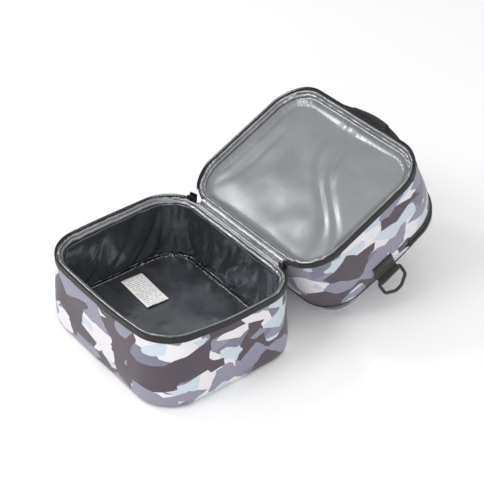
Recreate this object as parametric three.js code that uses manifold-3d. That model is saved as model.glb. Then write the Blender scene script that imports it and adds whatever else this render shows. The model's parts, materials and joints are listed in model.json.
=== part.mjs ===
// Soft insulated cooler bag with two compartments, standing open.
// The lower tub rests on the ground; the upper compartment is its lid, swung back on a fabric hinge.
// Millimetres, +Z up. The origin is the centre of the tub's flat underside; the hinge line runs along Y.
import * as THREE from 'three';
import { mergeVertices } from 'three/addons/utils/BufferGeometryUtils.js';
import Module from 'manifold-3d';

const wasm = await Module();
wasm.setup();

// ---- driving dimensions ----
const WIDTH = 198;              // across the hinge line (X)
const LENGTH = 240;             // along the hinge line (Y)
const CORNER = 46;              // radius of the plan corners
const TUB_HEIGHT = 92;          // ground to the tub's rim
const LID_DEPTH = 104;          // lid rim to the crown of the outer face
const OPEN_ANGLE = 155;         // degrees the lid is swung back from closed
const GAP = 0.3;                // clearance between neighbouring layers
const ARC_STEPS = 6;            // facets in a quarter circle

// ---- layers, as depths inward from the outer outline ----
const FABRIC = 1.2;
const FOAM = 4;
const LINING = 0.8;
const FOAM_START = FABRIC + GAP;
const FOAM_END = FOAM_START + FOAM;
const LINING_START = FOAM_END + GAP;
const LINING_END = LINING_START + LINING;
const TAPE_OUT = -1.0;          // the zip tape lies on the outside of the fabric
const TAPE_IN = -GAP;
const BOTTOM_BEVEL = 7;
const FLOOR_BOARD = 1.5;

// ---- main zip and its hinge ----
const ZIP_GAP = 11;             // rim to rim when closed
const TAPE_BAND = 8;            // tape height below or above a rim
const TAPE_LIP = 2;             // tape standing past a rim to the teeth
const TEETH = 2.5;
const TEETH_OUT = -1.8;
const TEETH_IN = 0.5;
const TOOTH_GAP = 0.05;           // tape's edge to the teeth
const HINGE_OUT = 4;            // hinge line outside the back wall
const HINGE_SPAN = 156;         // length of the fabric hinge
const HINGE_CUT = 12;           // depth of the opening left in the zip for the hinge
const LID_TEETH_START = 94;     // the lid's teeth begin this far along Y, past the parked sliders
const HINGE_X = WIDTH / 2 + HINGE_OUT;
const HINGE_Z = TUB_HEIGHT + ZIP_GAP / 2;

// ---- upper compartment ----
const DIVIDER = 11;             // lid rim to the silver panel
const TOP_RIM = 82;             // lid rim to the lower edge of the top zip
const TOP_ZIP_GAP = 5;
const FLAP_START = TOP_RIM + TOP_ZIP_GAP;
const FACE_ROUND_IN = 6;        // how far the outer face's edge is drawn in
const FACE_ROUND_UP = 9;        // and over what height
const FOLD_X = -25;             // the outer face folds here; the part beyond it is the flap
const ZIP_STOP = 6;             // the top zip ends this far short of the fold
const TOP_TEETH = 1.2;
const TOP_TEETH_LIP = 0.5;
const TOP_TEETH_OUT = -1.4;     // the flap's teeth clear the top pull as the flap opens
const PIPING_Z = 90;
const PIPING = 1.6;             // height of the edge piping, and how far it stands proud

// ---- webbing, rings and pulls ----
const WEBBING = 2.2;
const RING_WEB_WIDTH = 30;
const RING_X = 11;              // middle of the ring tabs, towards the hinge
const RING_BAR_Z = 95;          // lid rim to the ring's bar
const RING_TILT = 22;           // degrees the rings lean out of the wall
const HANDLE_WIDTH = 25;
const HANDLE_SPAN = 124;
const HANDLE_RISE = 18;
const HANDLE_LEVEL = 26;        // lid rim to the middle of the handle webbing
const SLIDER_TURN = 15;         // degrees round the plan corner from the hinge wall to a parked slider
const TOP_SLIDER_Y = 66;

const matte = (color, roughness = 0.85) => new THREE.MeshStandardMaterial({ color, roughness, metalness: 0 });
const materials = {
  print: matte(0x8d8a9c),
  black: matte(0x1c1c1f, 0.8),
  silver: new THREE.MeshStandardMaterial({ color: 0xa2a5aa, roughness: 0.35, metalness: 0.4 }),
  lining: new THREE.MeshStandardMaterial({ color: 0x4c5058, roughness: 0.38, metalness: 0.3 }),
  foam: matte(0xe8e8e2, 0.95),
  board: matte(0xc9c9c4, 0.7),
  label: matte(0xf2f2ee, 0.8),
  plastic: matte(0x222326, 0.45),
};

// ---- making and joining solids ----
function toSolid(geometry) {
  const bare = geometry.index ? geometry.toNonIndexed() : geometry.clone();
  bare.deleteAttribute('normal');
  bare.deleteAttribute('uv');
  const merged = mergeVertices(bare, 1e-4);
  return new wasm.Manifold(new wasm.Mesh({
    numProp: 3,
    vertProperties: new Float32Array(merged.attributes.position.array),
    triVerts: new Uint32Array(merged.index.array),
  }));
}

function toMesh(solid, name, material) {
  const made = solid.getMesh();
  const geometry = new THREE.BufferGeometry();
  geometry.setAttribute('position', new THREE.BufferAttribute(new Float32Array(made.vertProperties), 3));
  geometry.setIndex(new THREE.BufferAttribute(new Uint32Array(made.triVerts), 1));
  geometry.computeVertexNormals();
  const mesh = new THREE.Mesh(geometry, material);
  mesh.name = name;
  return mesh;
}

function box(x0, x1, y0, y1, z0, z1) {
  const geometry = new THREE.BoxGeometry(x1 - x0, y1 - y0, z1 - z0);
  return toSolid(geometry.translate((x0 + x1) / 2, (y0 + y1) / 2, (z0 + z1) / 2));
}

// The bag's plan outline, drawn in by an inset.
function outline(inset) {
  const x = WIDTH / 2 - inset;
  const y = LENGTH / 2 - inset;
  const r = CORNER - inset;
  const shape = new THREE.Shape();
  shape.moveTo(x, -y + r);
  shape.lineTo(x, y - r);
  shape.absarc(x - r, y - r, r, 0, Math.PI / 2);
  shape.lineTo(-x + r, y);
  shape.absarc(-x + r, y - r, r, Math.PI / 2, Math.PI);
  shape.lineTo(-x, -y + r);
  shape.absarc(-x + r, -y + r, r, Math.PI, Math.PI * 1.5);
  shape.lineTo(x - r, -y);
  shape.absarc(x - r, -y + r, r, -Math.PI / 2, 0);
  return shape;
}

function slab(inset, z0, z1) {
  const geometry = new THREE.ExtrudeGeometry(outline(inset), {
    depth: z1 - z0, bevelEnabled: false, curveSegments: ARC_STEPS,
  });
  return toSolid(geometry.translate(0, 0, z0));
}

// A slab whose lower and upper edges are rounded, drawn in by one amount over a height of another.
function roundedSlab(inset, z0, z1, drawnIn, over = drawnIn) {
  const geometry = new THREE.ExtrudeGeometry(outline(inset + drawnIn), {
    depth: z1 - z0 - 2 * over, bevelSize: drawnIn, bevelThickness: over, bevelSegments: 2, curveSegments: ARC_STEPS,
  });
  return toSolid(geometry.translate(0, 0, z0 + over));
}

// Everything between two heights, and optionally on one side of the fold line.
const layer = (z0, z1, x0 = -WIDTH, x1 = WIDTH) => box(x0, x1, -LENGTH, LENGTH, z0, z1);

const ring = (insetOut, insetIn, z0, z1) => slab(insetOut, z0, z1).subtract(slab(insetIn, z0 - 1, z1 + 1));

// A ring left open where the fabric hinge is, between -halfOpening and +halfOpening along Y.
function zipRing(insetOut, insetIn, z0, z1, halfOpening = HINGE_SPAN / 2 + 1) {
  const opening = box(WIDTH / 2 - HINGE_CUT, WIDTH, -halfOpening, halfOpening, z0 - 1, z1 + 1);
  return ring(insetOut, insetIn, z0, z1).subtract(opening);
}

const cup = (insetOut, insetIn, floor, floorTop, top) =>
  slab(insetOut, floor, top).subtract(slab(insetIn, floorTop, top + 1));

// A profile in the XZ plane, drawn along Y.
function stripAlongY(points, length) {
  const shape = new THREE.Shape(points.map(([x, z]) => new THREE.Vector2(x, z)));
  const geometry = new THREE.ExtrudeGeometry(shape, { depth: length, bevelEnabled: false });
  return toSolid(geometry.rotateX(Math.PI / 2).translate(0, length / 2, 0));
}

// Half of the fabric hinge: it lies on the back wall, then leans out to end just short of the hinge line.
// Up is +1 for the half below the hinge line and -1 for the half above it.
function hingeHalf(hingeZ, rimZ, up) {
  const wall = WIDTH / 2 + GAP;
  const thick = 1;
  const endGap = 1.7;           // the half stops this far from the hinge line
  const tipX = HINGE_X - thick / 2;
  const points = [
    [wall, rimZ - up * TAPE_BAND],
    [wall + thick, rimZ - up * TAPE_BAND],
    [wall + thick, rimZ - up * thick],
    [tipX + thick / 2, hingeZ - up * endGap],
    [tipX - thick / 2, hingeZ - up * endGap],
    [wall, rimZ],
  ];
  return stripAlongY(up > 0 ? points : points.reverse(), HINGE_SPAN);
}

// ---- lower tub ----
function makeTub() {
  const tub = new THREE.Group();
  const wallTop = TUB_HEIGHT - 1;
  const foamTop = TUB_HEIGHT - 4;
  const boardZ = FOAM_END + GAP;
  const liningZ = boardZ + FLOOR_BOARD + GAP;
  const floorZ = liningZ + LINING;
  const above = layer(wallTop, TUB_HEIGHT * 2);
  const skin = roundedSlab(0, 0, TUB_HEIGHT + 20, BOTTOM_BEVEL).subtract(above);
  const hollow = roundedSlab(FABRIC, FABRIC, TUB_HEIGHT + 30, BOTTOM_BEVEL);
  const foamSkin = roundedSlab(FOAM_START, FOAM_START, TUB_HEIGHT + 20, BOTTOM_BEVEL)
    .subtract(layer(foamTop, TUB_HEIGHT * 2));
  const welt = 2.4;
  const weltInset = LINING_END + 7;
  const rows = [
    ['base_shell', skin.subtract(hollow), 'print'],
    ['base_foam', foamSkin.subtract(slab(FOAM_END, FOAM_END, TUB_HEIGHT)), 'foam'],
    ['base_floor_board', slab(LINING_START, boardZ, boardZ + FLOOR_BOARD), 'board'],
    ['base_liner', cup(LINING_START, LINING_END, liningZ, floorZ, foamTop), 'lining'],
    ['base_floor_welt', ring(weltInset, weltInset + welt, floorZ + GAP, floorZ + GAP + welt), 'lining'],
    ['base_rim_binding', ring(FOAM_START, LINING_END + 1, foamTop + GAP, TUB_HEIGHT), 'silver'],
    ['base_zip_tape', zipRing(TAPE_OUT, TAPE_IN, TUB_HEIGHT - TAPE_BAND, TUB_HEIGHT + TAPE_LIP), 'black'],
    ['base_zip_teeth', zipRing(TEETH_OUT, TEETH_IN, TUB_HEIGHT + TAPE_LIP + TOOTH_GAP,
      TUB_HEIGHT + TAPE_LIP + TEETH), 'plastic'],
    ['base_hinge_strip', hingeHalf(HINGE_Z, TUB_HEIGHT, 1), 'black'],
    ['care_label', careLabel(floorZ + GAP), 'label'],
  ];
  rows.forEach(([name, solid, material]) => tub.add(toMesh(solid, name, materials[material])));
  return tub;
}

function careLabel(z) {
  const labelX = 8;
  const labelY = 64;
  const labelWidth = 30;
  const labelLength = 61;
  const labelThick = 0.5;
  return box(labelX - labelWidth / 2, labelX + labelWidth / 2, labelY - labelLength / 2,
    labelY + labelLength / 2, z, z + labelThick);
}

// ---- upper compartment, drawn closed with its rim at z = 0 ----
const faceSlab = (inset) => roundedSlab(inset, -LID_DEPTH, LID_DEPTH - inset, FACE_ROUND_IN, FACE_ROUND_UP);
const beyondFold = (z0, z1) => layer(z0, z1, -WIDTH, FOLD_X - GAP);
const besideFold = (z0, z1) => layer(z0, z1, FOLD_X + GAP, WIDTH);

function makeLid() {
  const lid = new THREE.Group();
  const bindingTop = 4;
  const panelTop = DIVIDER + LINING;
  const foamZ = panelTop + GAP;
  const floorZ = foamZ + FOAM + GAP;
  const teethZ = TOP_RIM + TOP_TEETH_LIP;
  const shell = faceSlab(0).subtract(faceSlab(FABRIC)).intersect(layer(1, LID_DEPTH + 1));
  const rows = [
    ['lid_shell', shell.subtract(layer(TOP_RIM, LID_DEPTH + 1, -WIDTH, FOLD_X + GAP)), 'print'],
    ['lid_foam', ring(FOAM_START, FOAM_END, bindingTop, TOP_RIM - 1), 'foam'],
    ['lid_rim_binding', ring(FOAM_START, LINING_END + 1, 0, bindingTop - GAP), 'silver'],
    ['lid_zip_tape', zipRing(TAPE_OUT, TAPE_IN, -TAPE_LIP, TAPE_BAND), 'black'],
    ['lid_zip_teeth', zipRing(TEETH_OUT, TEETH_IN, -TAPE_LIP - TEETH, -TAPE_LIP - TOOTH_GAP, LID_TEETH_START),
      'plastic'],
    ['lid_hinge_strip', hingeHalf(-ZIP_GAP / 2, 0, -1), 'black'],
    ['divider_panel', slab(LINING_START, bindingTop, panelTop).subtract(slab(LINING_END, bindingTop - 1, DIVIDER)),
      'silver'],
    ['divider_foam', slab(LINING_START, foamZ, foamZ + FOAM), 'foam'],
    ['upper_liner', cup(LINING_START, LINING_END, floorZ, floorZ + LINING, TOP_RIM - 1), 'lining'],
    ['face_foam', faceFoam().intersect(besideFold(0, LID_DEPTH)), 'foam'],
    ['face_liner', faceLiner().intersect(besideFold(0, LID_DEPTH)), 'lining'],
    ['face_piping', piping().intersect(besideFold(0, LID_DEPTH)), 'black'],
    ['top_zip_tape', topZip(TAPE_OUT, TAPE_IN, TOP_RIM - 4, teethZ), 'black'],
    ['top_zip_teeth', topZip(TOP_TEETH_OUT, TEETH_IN, teethZ + TOOTH_GAP, teethZ + TOP_TEETH), 'plastic'],
  ];
  rows.forEach(([name, solid, material]) => lid.add(toMesh(solid, name, materials[material])));
  lid.add(makeFlap(shell), makeHandle(), makeRing(-1), makeRing(1));
  const plateHalf = 2;
  const neck = 0.6;
  const topZipZ = TOP_RIM + TOP_ZIP_GAP / 2;
  lid.add(makeSlider('top', Math.PI / 2, [-WIDTH / 2, TOP_SLIDER_Y, topZipZ], plateHalf, neck, 1));
  return lid;
}

const faceFoam = () => faceSlab(FOAM_START).intersect(layer(LID_DEPTH - FOAM_END, LID_DEPTH));

function faceLiner() {
  const top = LID_DEPTH - FOAM_END - GAP;
  return faceSlab(FOAM_START).intersect(layer(top - LINING, top));
}

const piping = () => ring(-PIPING, -GAP, PIPING_Z, PIPING_Z + PIPING);

// The top zip runs along the wall opposite the hinge and round both corners.
const topZip = (insetOut, insetIn, z0, z1) =>
  ring(insetOut, insetIn, z0, z1).intersect(layer(z0 - 1, z1 + 1, -WIDTH, FOLD_X - ZIP_STOP));

// The part of the outer face that swings open over the upper compartment.
function makeFlap(shell) {
  const flap = new THREE.Group();
  const tapeZ = FLAP_START - TOP_TEETH_LIP;
  const rows = [
    ['flap_shell', shell.intersect(beyondFold(FLAP_START, LID_DEPTH + 1)), 'print'],
    ['flap_foam', faceFoam().intersect(beyondFold(0, LID_DEPTH)), 'foam'],
    ['flap_liner', faceLiner().intersect(beyondFold(0, LID_DEPTH)), 'lining'],
    ['flap_piping', piping().intersect(beyondFold(0, LID_DEPTH)), 'black'],
    ['flap_zip_tape', topZip(TAPE_OUT, TAPE_IN, tapeZ, PIPING_Z - GAP), 'black'],
    ['flap_zip_teeth', topZip(TOP_TEETH_OUT, TEETH_IN, tapeZ - TOP_TEETH, tapeZ - TOOTH_GAP), 'plastic'],
  ];
  rows.forEach(([name, solid, material]) => flap.add(toMesh(solid, name, materials[material])));
  return flap;
}

// ---- carry handle on the wall opposite the hinge: two sewn ends and an arched loop between them ----
function makeHandle() {
  const handle = new THREE.Group();
  const wall = -WIDTH / 2 - GAP;
  const patchLength = 20;
  const half = HANDLE_SPAN / 2;
  const z0 = HANDLE_LEVEL - HANDLE_WIDTH / 2;
  [-1, 1].forEach((side) => {
    const y0 = side > 0 ? half + 1 : -half - 1 - patchLength;
    const patch = box(wall - WEBBING, wall, y0, y0 + patchLength, z0, z0 + HANDLE_WIDTH);
    handle.add(toMesh(patch, side > 0 ? 'handle_end_left' : 'handle_end_right', materials.black));
  });
  const startOut = 7;           // the loop clears the wall by this much where it meets the sewn ends
  handle.add(toMesh(archBand(wall - startOut, half, HANDLE_RISE - startOut, WEBBING, z0, HANDLE_WIDTH),
    'handle_loop', materials.black));
  const gripHalf = 34;
  const sleeveWall = 1.6;
  const sleeve = archBand(wall - startOut + sleeveWall, half, HANDLE_RISE - startOut, WEBBING + 2 * sleeveWall,
    z0 - sleeveWall, HANDLE_WIDTH + 2 * sleeveWall);
  const hole = archBand(wall - startOut + GAP, half, HANDLE_RISE - startOut, WEBBING + 2 * GAP, z0 - GAP,
    HANDLE_WIDTH + 2 * GAP);
  const keep = box(-WIDTH, 0, -gripHalf, gripHalf, 0, TOP_RIM);
  handle.add(toMesh(sleeve.subtract(hole).intersect(keep), 'handle_grip', materials.black));
  return handle;
}

// A band bent to a circular arc in plan: it starts at x on both ends and rises away from the wall.
function archBand(x, half, rise, thick, z, height) {
  const radius = (half * half + rise * rise) / (2 * rise);
  const centre = radius - rise;
  const sweep = Math.asin(half / radius);
  const shape = new THREE.Shape();
  shape.absarc(0, 0, radius + thick, Math.PI - sweep, Math.PI + sweep);
  shape.absarc(0, 0, radius, Math.PI + sweep, Math.PI - sweep, true);
  shape.closePath();
  const geometry = new THREE.ExtrudeGeometry(shape, { depth: height, bevelEnabled: false, curveSegments: 12 });
  return toSolid(geometry.translate(x + centre, 0, z));
}

// ---- a six-sided ring on a webbing tab, on each end wall; side is -1 or +1 along Y ----
function makeRing(side) {
  const label = side < 0 ? 'right' : 'left';
  const bar = 1.8;              // half of the bar's thickness
  const loopIn = 3;             // inside radius of the webbing loop round the bar
  const loopOut = loopIn + WEBBING - 0.2;
  const barOut = loopOut + GAP + 0.3;   // wall to the ring's bar
  const tabDrop = 24.5;
  const tab = new THREE.Shape();
  tab.absarc(barOut, 0, loopOut, 0, Math.PI * 2);
  const eye = new THREE.Shape();
  eye.absarc(barOut, 0, loopIn, 0, Math.PI * 2);
  const tail = box(-RING_WEB_WIDTH / 2, RING_WEB_WIDTH / 2, GAP, GAP + 2 * WEBBING - 1, -tabDrop, -1);
  const drawn = (shape) => toSolid(new THREE.ExtrudeGeometry(shape, {
    depth: RING_WEB_WIDTH, bevelEnabled: false, curveSegments: 8,
  }).rotateY(Math.PI / 2).rotateX(Math.PI / 2).translate(-RING_WEB_WIDTH / 2, 0, 0));
  const pipingZ = PIPING_Z - RING_BAR_Z;
  const groove = box(-RING_WEB_WIDTH, RING_WEB_WIDTH, 0, PIPING + GAP, pipingZ - GAP, pipingZ + PIPING + GAP);
  const tabSolid = drawn(tab).add(tail).subtract(drawn(eye)).subtract(groove);
  const tabMesh = toMesh(tabSolid, `ring_tab_${label}`, materials.black);

  const halfWidth = RING_WEB_WIDTH / 2 + 0.6;
  const rim = 3.5;
  const reach = 25;             // bar to the far side
  const ringShape = new THREE.Shape(hexRing(halfWidth + rim, -bar, reach));
  ringShape.holes.push(new THREE.Path(hexRing(halfWidth, bar, reach - rim)));
  const ringSolid = toSolid(new THREE.ExtrudeGeometry(ringShape, { depth: 2 * bar, bevelEnabled: false })
    .translate(0, 0, -bar).rotateX(Math.PI / 2));
  const ringMesh = toMesh(ringSolid, `hex_ring_${label}`, materials.plastic);
  ringMesh.position.set(0, barOut, 0);
  ringMesh.rotation.x = -THREE.MathUtils.degToRad(RING_TILT);

  const holder = new THREE.Group();
  holder.add(tabMesh, ringMesh);
  holder.rotation.z = side < 0 ? Math.PI : 0;
  holder.position.set(RING_X, side * LENGTH / 2, RING_BAR_Z);
  return holder;
}

// Six corners of a ring with straight sides and a short far side.
function hexRing(half, near, far) {
  const shoulder = near + (far - near) * 0.66;
  const narrow = half * 0.25;
  return [[-half, near], [half, near], [half, shoulder], [narrow, far], [-narrow, far], [-half, shoulder]]
    .map(([x, y]) => new THREE.Vector2(x, y));
}

// ---- a zip slider with its pull ----
// Two plates are joined by a thin neck that passes between the two rows of teeth. The pull hangs on a headed post.
// Turn brings the slider's outer face from +Y to the wall's outward direction; hang is -1 for a pull that points down.
function makeSlider(name, turn, position, plateHalf, neck, hang) {
  const length = 11;
  const plate = 1.5;
  const bridgeLength = 4;
  const weld = 0.1;             // overlap that joins the slider's own parts
  const outerY = -TEETH_OUT + 0.4;
  const innerY = -TEETH_IN - 1;
  const pullThick = 1.4;
  const play = 0.35;
  const post = 1;
  const head = 2;
  const headThick = 0.8;
  const pullY = outerY + plate + play;
  const headY = pullY + pullThick + play;
  const outer = box(-length / 2, length / 2, outerY, outerY + plate, -plateHalf, plateHalf);
  const inner = box(-length / 2, length / 2, innerY - plate, innerY, -plateHalf, plateHalf);
  const bridge = box(0, bridgeLength, innerY - weld, outerY + weld, -neck / 2, neck / 2);
  const stem = drumAlongY(post, outerY + plate - weld, headY + weld);
  const cap = drumAlongY(head, headY, headY + headThick);
  const slider = outer.add(inner).add(bridge).add(stem).add(cap);

  const pullLength = 24;
  const pullHalf = 2.4;
  const eyeRadius = 3;
  const slotHalf = 1;
  const slotTop = 9;            // the tongue's long slot runs from here
  const slotEnd = 3;            // to this far from the tip
  const eye = drumAlongY(eyeRadius, pullY, pullY + pullThick);
  const tongue = box(-pullHalf, pullHalf, pullY, pullY + pullThick, -pullLength, -1);
  const slot = box(-slotHalf, slotHalf, pullY - 1, pullY + pullThick + 1, -pullLength + slotEnd, -slotTop);
  const hole = drumAlongY(post + play, pullY - 1, pullY + pullThick + 1);
  const pullMesh = toMesh(eye.add(tongue).subtract(slot).subtract(hole), `${name}_pull`, materials.plastic);
  pullMesh.rotation.y = hang < 0 ? 0 : Math.PI;

  const holder = new THREE.Group();
  holder.add(toMesh(slider, `${name}_slider`, materials.plastic), pullMesh);
  holder.rotation.z = turn;
  holder.position.set(...position);
  return holder;
}

const drumAlongY = (radius, y0, y1) =>
  toSolid(new THREE.CylinderGeometry(radius, radius, y1 - y0, 12).translate(0, (y0 + y1) / 2, 0));

// A slider of the main zip, parked beside the hinge; side is -1 or +1 along Y.
function makeParkedSlider(name, side) {
  const angle = side * THREE.MathUtils.degToRad(SLIDER_TURN);
  const x = WIDTH / 2 - CORNER + CORNER * Math.cos(angle);
  const y = side * (LENGTH / 2 - CORNER) + CORNER * Math.sin(angle);
  const plateHalf = 4.9;
  const neck = 0.9;
  return makeSlider(name, angle - Math.PI / 2, [x, y, HINGE_Z], plateHalf, neck, -1);
}

// ---- the whole bag ----
const bag = new THREE.Group();
bag.add(makeTub());
bag.add(makeParkedSlider('left', 1), makeParkedSlider('right', -1));

const swing = new THREE.Group();
swing.position.set(HINGE_X, 0, HINGE_Z);
swing.rotation.y = THREE.MathUtils.degToRad(OPEN_ANGLE);
const lid = makeLid();
lid.position.set(-HINGE_X, 0, ZIP_GAP / 2);
swing.add(lid);
bag.add(swing);

export default bag;
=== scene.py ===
"""Looks of the soft two-compartment cooler bag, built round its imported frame.

Lengths are millimetres in the bag's own frame and turn into metres when a mesh is made. The tub and the
lid share one plan outline. A point on either is given by s, the distance round that outline from the
middle of the hinge wall, by its height z, and by inset, its depth behind the outer fabric. Every layer
goes through the same soft shape, so that layers follow each other. The lid is described closed, with its
rim at z = 0, and is then swung open.
"""
import json
import math
import bmesh
import bpy
import numpy as np
from mathutils import Matrix, Vector, noise


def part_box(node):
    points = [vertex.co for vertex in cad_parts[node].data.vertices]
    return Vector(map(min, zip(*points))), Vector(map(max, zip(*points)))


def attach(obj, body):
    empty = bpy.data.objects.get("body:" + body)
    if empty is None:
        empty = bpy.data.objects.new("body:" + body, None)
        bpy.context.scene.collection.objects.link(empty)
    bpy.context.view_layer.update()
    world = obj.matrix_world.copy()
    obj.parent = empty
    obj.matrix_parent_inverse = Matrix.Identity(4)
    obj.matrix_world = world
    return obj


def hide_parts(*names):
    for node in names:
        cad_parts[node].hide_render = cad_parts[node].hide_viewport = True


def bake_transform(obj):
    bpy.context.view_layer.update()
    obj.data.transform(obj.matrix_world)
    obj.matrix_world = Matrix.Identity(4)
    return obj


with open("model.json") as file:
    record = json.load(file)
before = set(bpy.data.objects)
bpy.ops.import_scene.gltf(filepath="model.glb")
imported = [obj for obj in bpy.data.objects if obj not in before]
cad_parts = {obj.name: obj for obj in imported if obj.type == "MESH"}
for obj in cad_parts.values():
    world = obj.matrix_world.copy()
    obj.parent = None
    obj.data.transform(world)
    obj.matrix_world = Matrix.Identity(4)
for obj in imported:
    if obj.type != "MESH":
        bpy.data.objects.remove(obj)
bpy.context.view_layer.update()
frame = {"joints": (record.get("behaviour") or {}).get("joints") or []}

# ---- sizes read from the frame ----
MM = 0.001
JOINTS = {joint["name"]: joint for joint in frame["joints"]}


def node_box(name):
    low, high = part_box(name)
    return low / MM, high / MM


tub_low, tub_high = node_box("base_shell")
WIDTH = tub_high.x - tub_low.x
LENGTH = tub_high.y - tub_low.y
TUB_TOP = node_box("base_rim_binding")[1].z
HINGE = Vector(JOINTS["lid_hinge"]["pos_m"]) / MM
OPEN_ANGLE = math.radians(-JOINTS["lid_hinge"]["range_deg"][0])
RIM_GAP = 2 * (HINGE.z - TUB_TOP)
HINGE_HALF = node_box("base_hinge_strip")[1].y

# ---- sizes of the bag's own make ----
CORNER = 46.0
LID_DEPTH = 104.0
TOP_RIM = 82.0
FLAP_START = 87.0
PIPING_Z = 90.0
FOLD_X = -25.0
TOP_ZIP_END = -31.0
LID_TEETH_LATE = 17.0
HANDLE_LEVEL = 26.0
HANDLE_HALF = 62.0
HANDLE_WIDTH = 25.0
RING_WEB = 30.0
FABRIC = 1.2
FOAM_OUT, FOAM_IN = 1.5, 5.5
LINING_OUT, LINING_IN = 5.8, 6.6
FLOOR_Z = 9.0
FACE_UV_SHIFT = 300

CORE_X = WIDTH / 2 - CORNER
CORE_Y = LENGTH / 2 - CORNER
QUARTER = CORNER * math.pi / 2
PERIMETER = 4 * (CORE_X + CORE_Y + QUARTER)

# ---- landmarks round the outline ----
CORNER_BACK_LEFT = CORE_Y + QUARTER / 2
WALL_LEFT = CORE_Y + QUARTER + CORE_X
CORNER_FRONT_LEFT = WALL_LEFT + CORE_X + QUARTER / 2
WALL_FRONT = CORNER_FRONT_LEFT + QUARTER / 2 + CORE_Y
CORNER_FRONT_RIGHT = WALL_FRONT + CORE_Y + QUARTER / 2
WALL_RIGHT = PERIMETER - WALL_LEFT
CORNER_BACK_RIGHT = PERIMETER - CORNER_BACK_LEFT
ZIP_START = HINGE_HALF + 1
ZIP_END = PERIMETER - ZIP_START

LID_TO_BAG = (Matrix.Translation(HINGE) @ Matrix.Rotation(OPEN_ANGLE, 4, "Y")
              @ Matrix.Translation((-HINGE.x, 0, RIM_GAP / 2)))


# ================= the soft shape =================
def anchors(s):
    """Anchor point and outward direction at distances s round the outline."""
    t = np.mod(np.asarray(s, float) - CORE_Y, PERIMETER)
    anchor = np.zeros((len(t), 2))
    outward = np.zeros((len(t), 2))
    corners = [(CORE_X, CORE_Y), (-CORE_X, CORE_Y), (-CORE_X, -CORE_Y), (CORE_X, -CORE_Y)]
    sides = [2 * CORE_X, 2 * CORE_Y, 2 * CORE_X, 2 * CORE_Y]
    begin = 0.0
    for k in range(4):
        base = k * math.pi / 2
        arc = (t >= begin) & (t < begin + QUARTER)
        angle = base + (t[arc] - begin) / CORNER
        anchor[arc] = corners[k]
        outward[arc] = np.stack([np.cos(angle), np.sin(angle)], 1)
        begin += QUARTER
        side = (t >= begin) & (t < begin + sides[k])
        along = np.array([math.cos(base + math.pi), math.sin(base + math.pi)])
        anchor[side] = np.array(corners[k]) + (t[side] - begin)[:, None] * along
        outward[side] = (-math.sin(base), math.cos(base))
        begin += sides[k]
    return anchor, outward


def bump(s, centre, width):
    """A smooth bump of height 1 round the outline."""
    away = np.mod(np.asarray(s, float) - centre + PERIMETER / 2, PERIMETER) - PERIMETER / 2
    return np.exp(-(away / width) ** 2)


def plateau(s, start, stop, soft):
    """Rises to 1 between two places round the outline and falls again, softly."""
    return 0.5 * (np.tanh((s - start) / soft) - np.tanh((s - stop) / soft))


def ripple(points, size, seed):
    """Smooth noise between about -1 and 1 at points, with features of the given size."""
    shift = Vector((seed * 7.3, seed * 3.1, seed * 5.7))
    return np.array([noise.noise(Vector(p) / size + shift) for p in points])


def wall_noise(s, z, size, seed):
    """Noise over a wall that closes on itself round the outline."""
    turn = np.asarray(s, float) / PERIMETER * 2 * math.pi
    radius = PERIMETER / (2 * math.pi)
    level = np.broadcast_to(np.asarray(z, float), turn.shape)
    points = np.stack([radius * np.cos(turn), radius * np.sin(turn), level], 1)
    return ripple(points, size, seed)


def tub_shift(s, z):
    """How far the tub's wall leans out, and how far it is lifted, at height z."""
    high = np.clip(z / TUB_TOP, 0, 1)
    out = 2.6 * np.exp(-((z - 16) / 26) ** 2)
    out = out + 1.2 * math.sin(math.pi * high)
    rim = high ** 2.2
    out = out - rim * (6.5 * bump(s, CORNER_FRONT_RIGHT, 55) + 3.0 * bump(s, CORNER_FRONT_LEFT, 50))
    out = out + 1.5 * wall_noise(s, z, 50, 1) * (1 - rim)
    lift = rim * (2.2 * bump(s, CORNER_FRONT_RIGHT, 60) - 1.5 * bump(s, WALL_RIGHT, 40))
    return out, lift


def lid_shift(s, z):
    """The same for the lid, whose z grows from its rim to its outer face."""
    deep = np.clip(z / LID_DEPTH, 0, 1)
    rim = (1 - deep) ** 2
    s = np.asarray(s, float) % PERIMETER
    out = 2.0 * math.sin(math.pi * deep)
    out = out - rim * 6.0 * plateau(s, CORNER_BACK_LEFT - 4, CORNER_FRONT_LEFT + 4, 16)
    out = out - 3.0 * deep * (bump(s, CORNER_FRONT_RIGHT, 45) + bump(s, CORNER_FRONT_LEFT, 45))
    out = out + 1.3 * wall_noise(s, z, 48, 2) * (1 - rim)
    sag = 5.0 * bump(s, CORNER_BACK_RIGHT, 60) + 5.0 * bump(s, 0, 70)
    lift = deep * (2.5 * bump(s, WALL_RIGHT, 45) - sag)
    return out, lift


def body_rows(shift, s, profile):
    """One row of points for each (inset, z) of a profile, through the soft shape."""
    anchor, outward = anchors(s)
    rows = []
    for inset, z in profile:
        out, lift = shift(s, z)
        plan = anchor + outward * (CORNER - inset + out)[:, None]
        rows.append(np.column_stack([plan, z + lift]))
    return rows


def swing_open(points):
    """Takes lid points from closed to where the open lid stands."""
    turn = np.array(LID_TO_BAG)
    return np.asarray(points) @ turn[:3, :3].T + turn[:3, 3]


# ================= mesh making =================
def new_object(name, data):
    made = bpy.data.objects.new(name, data)
    bpy.context.scene.collection.objects.link(made)
    return made


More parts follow.
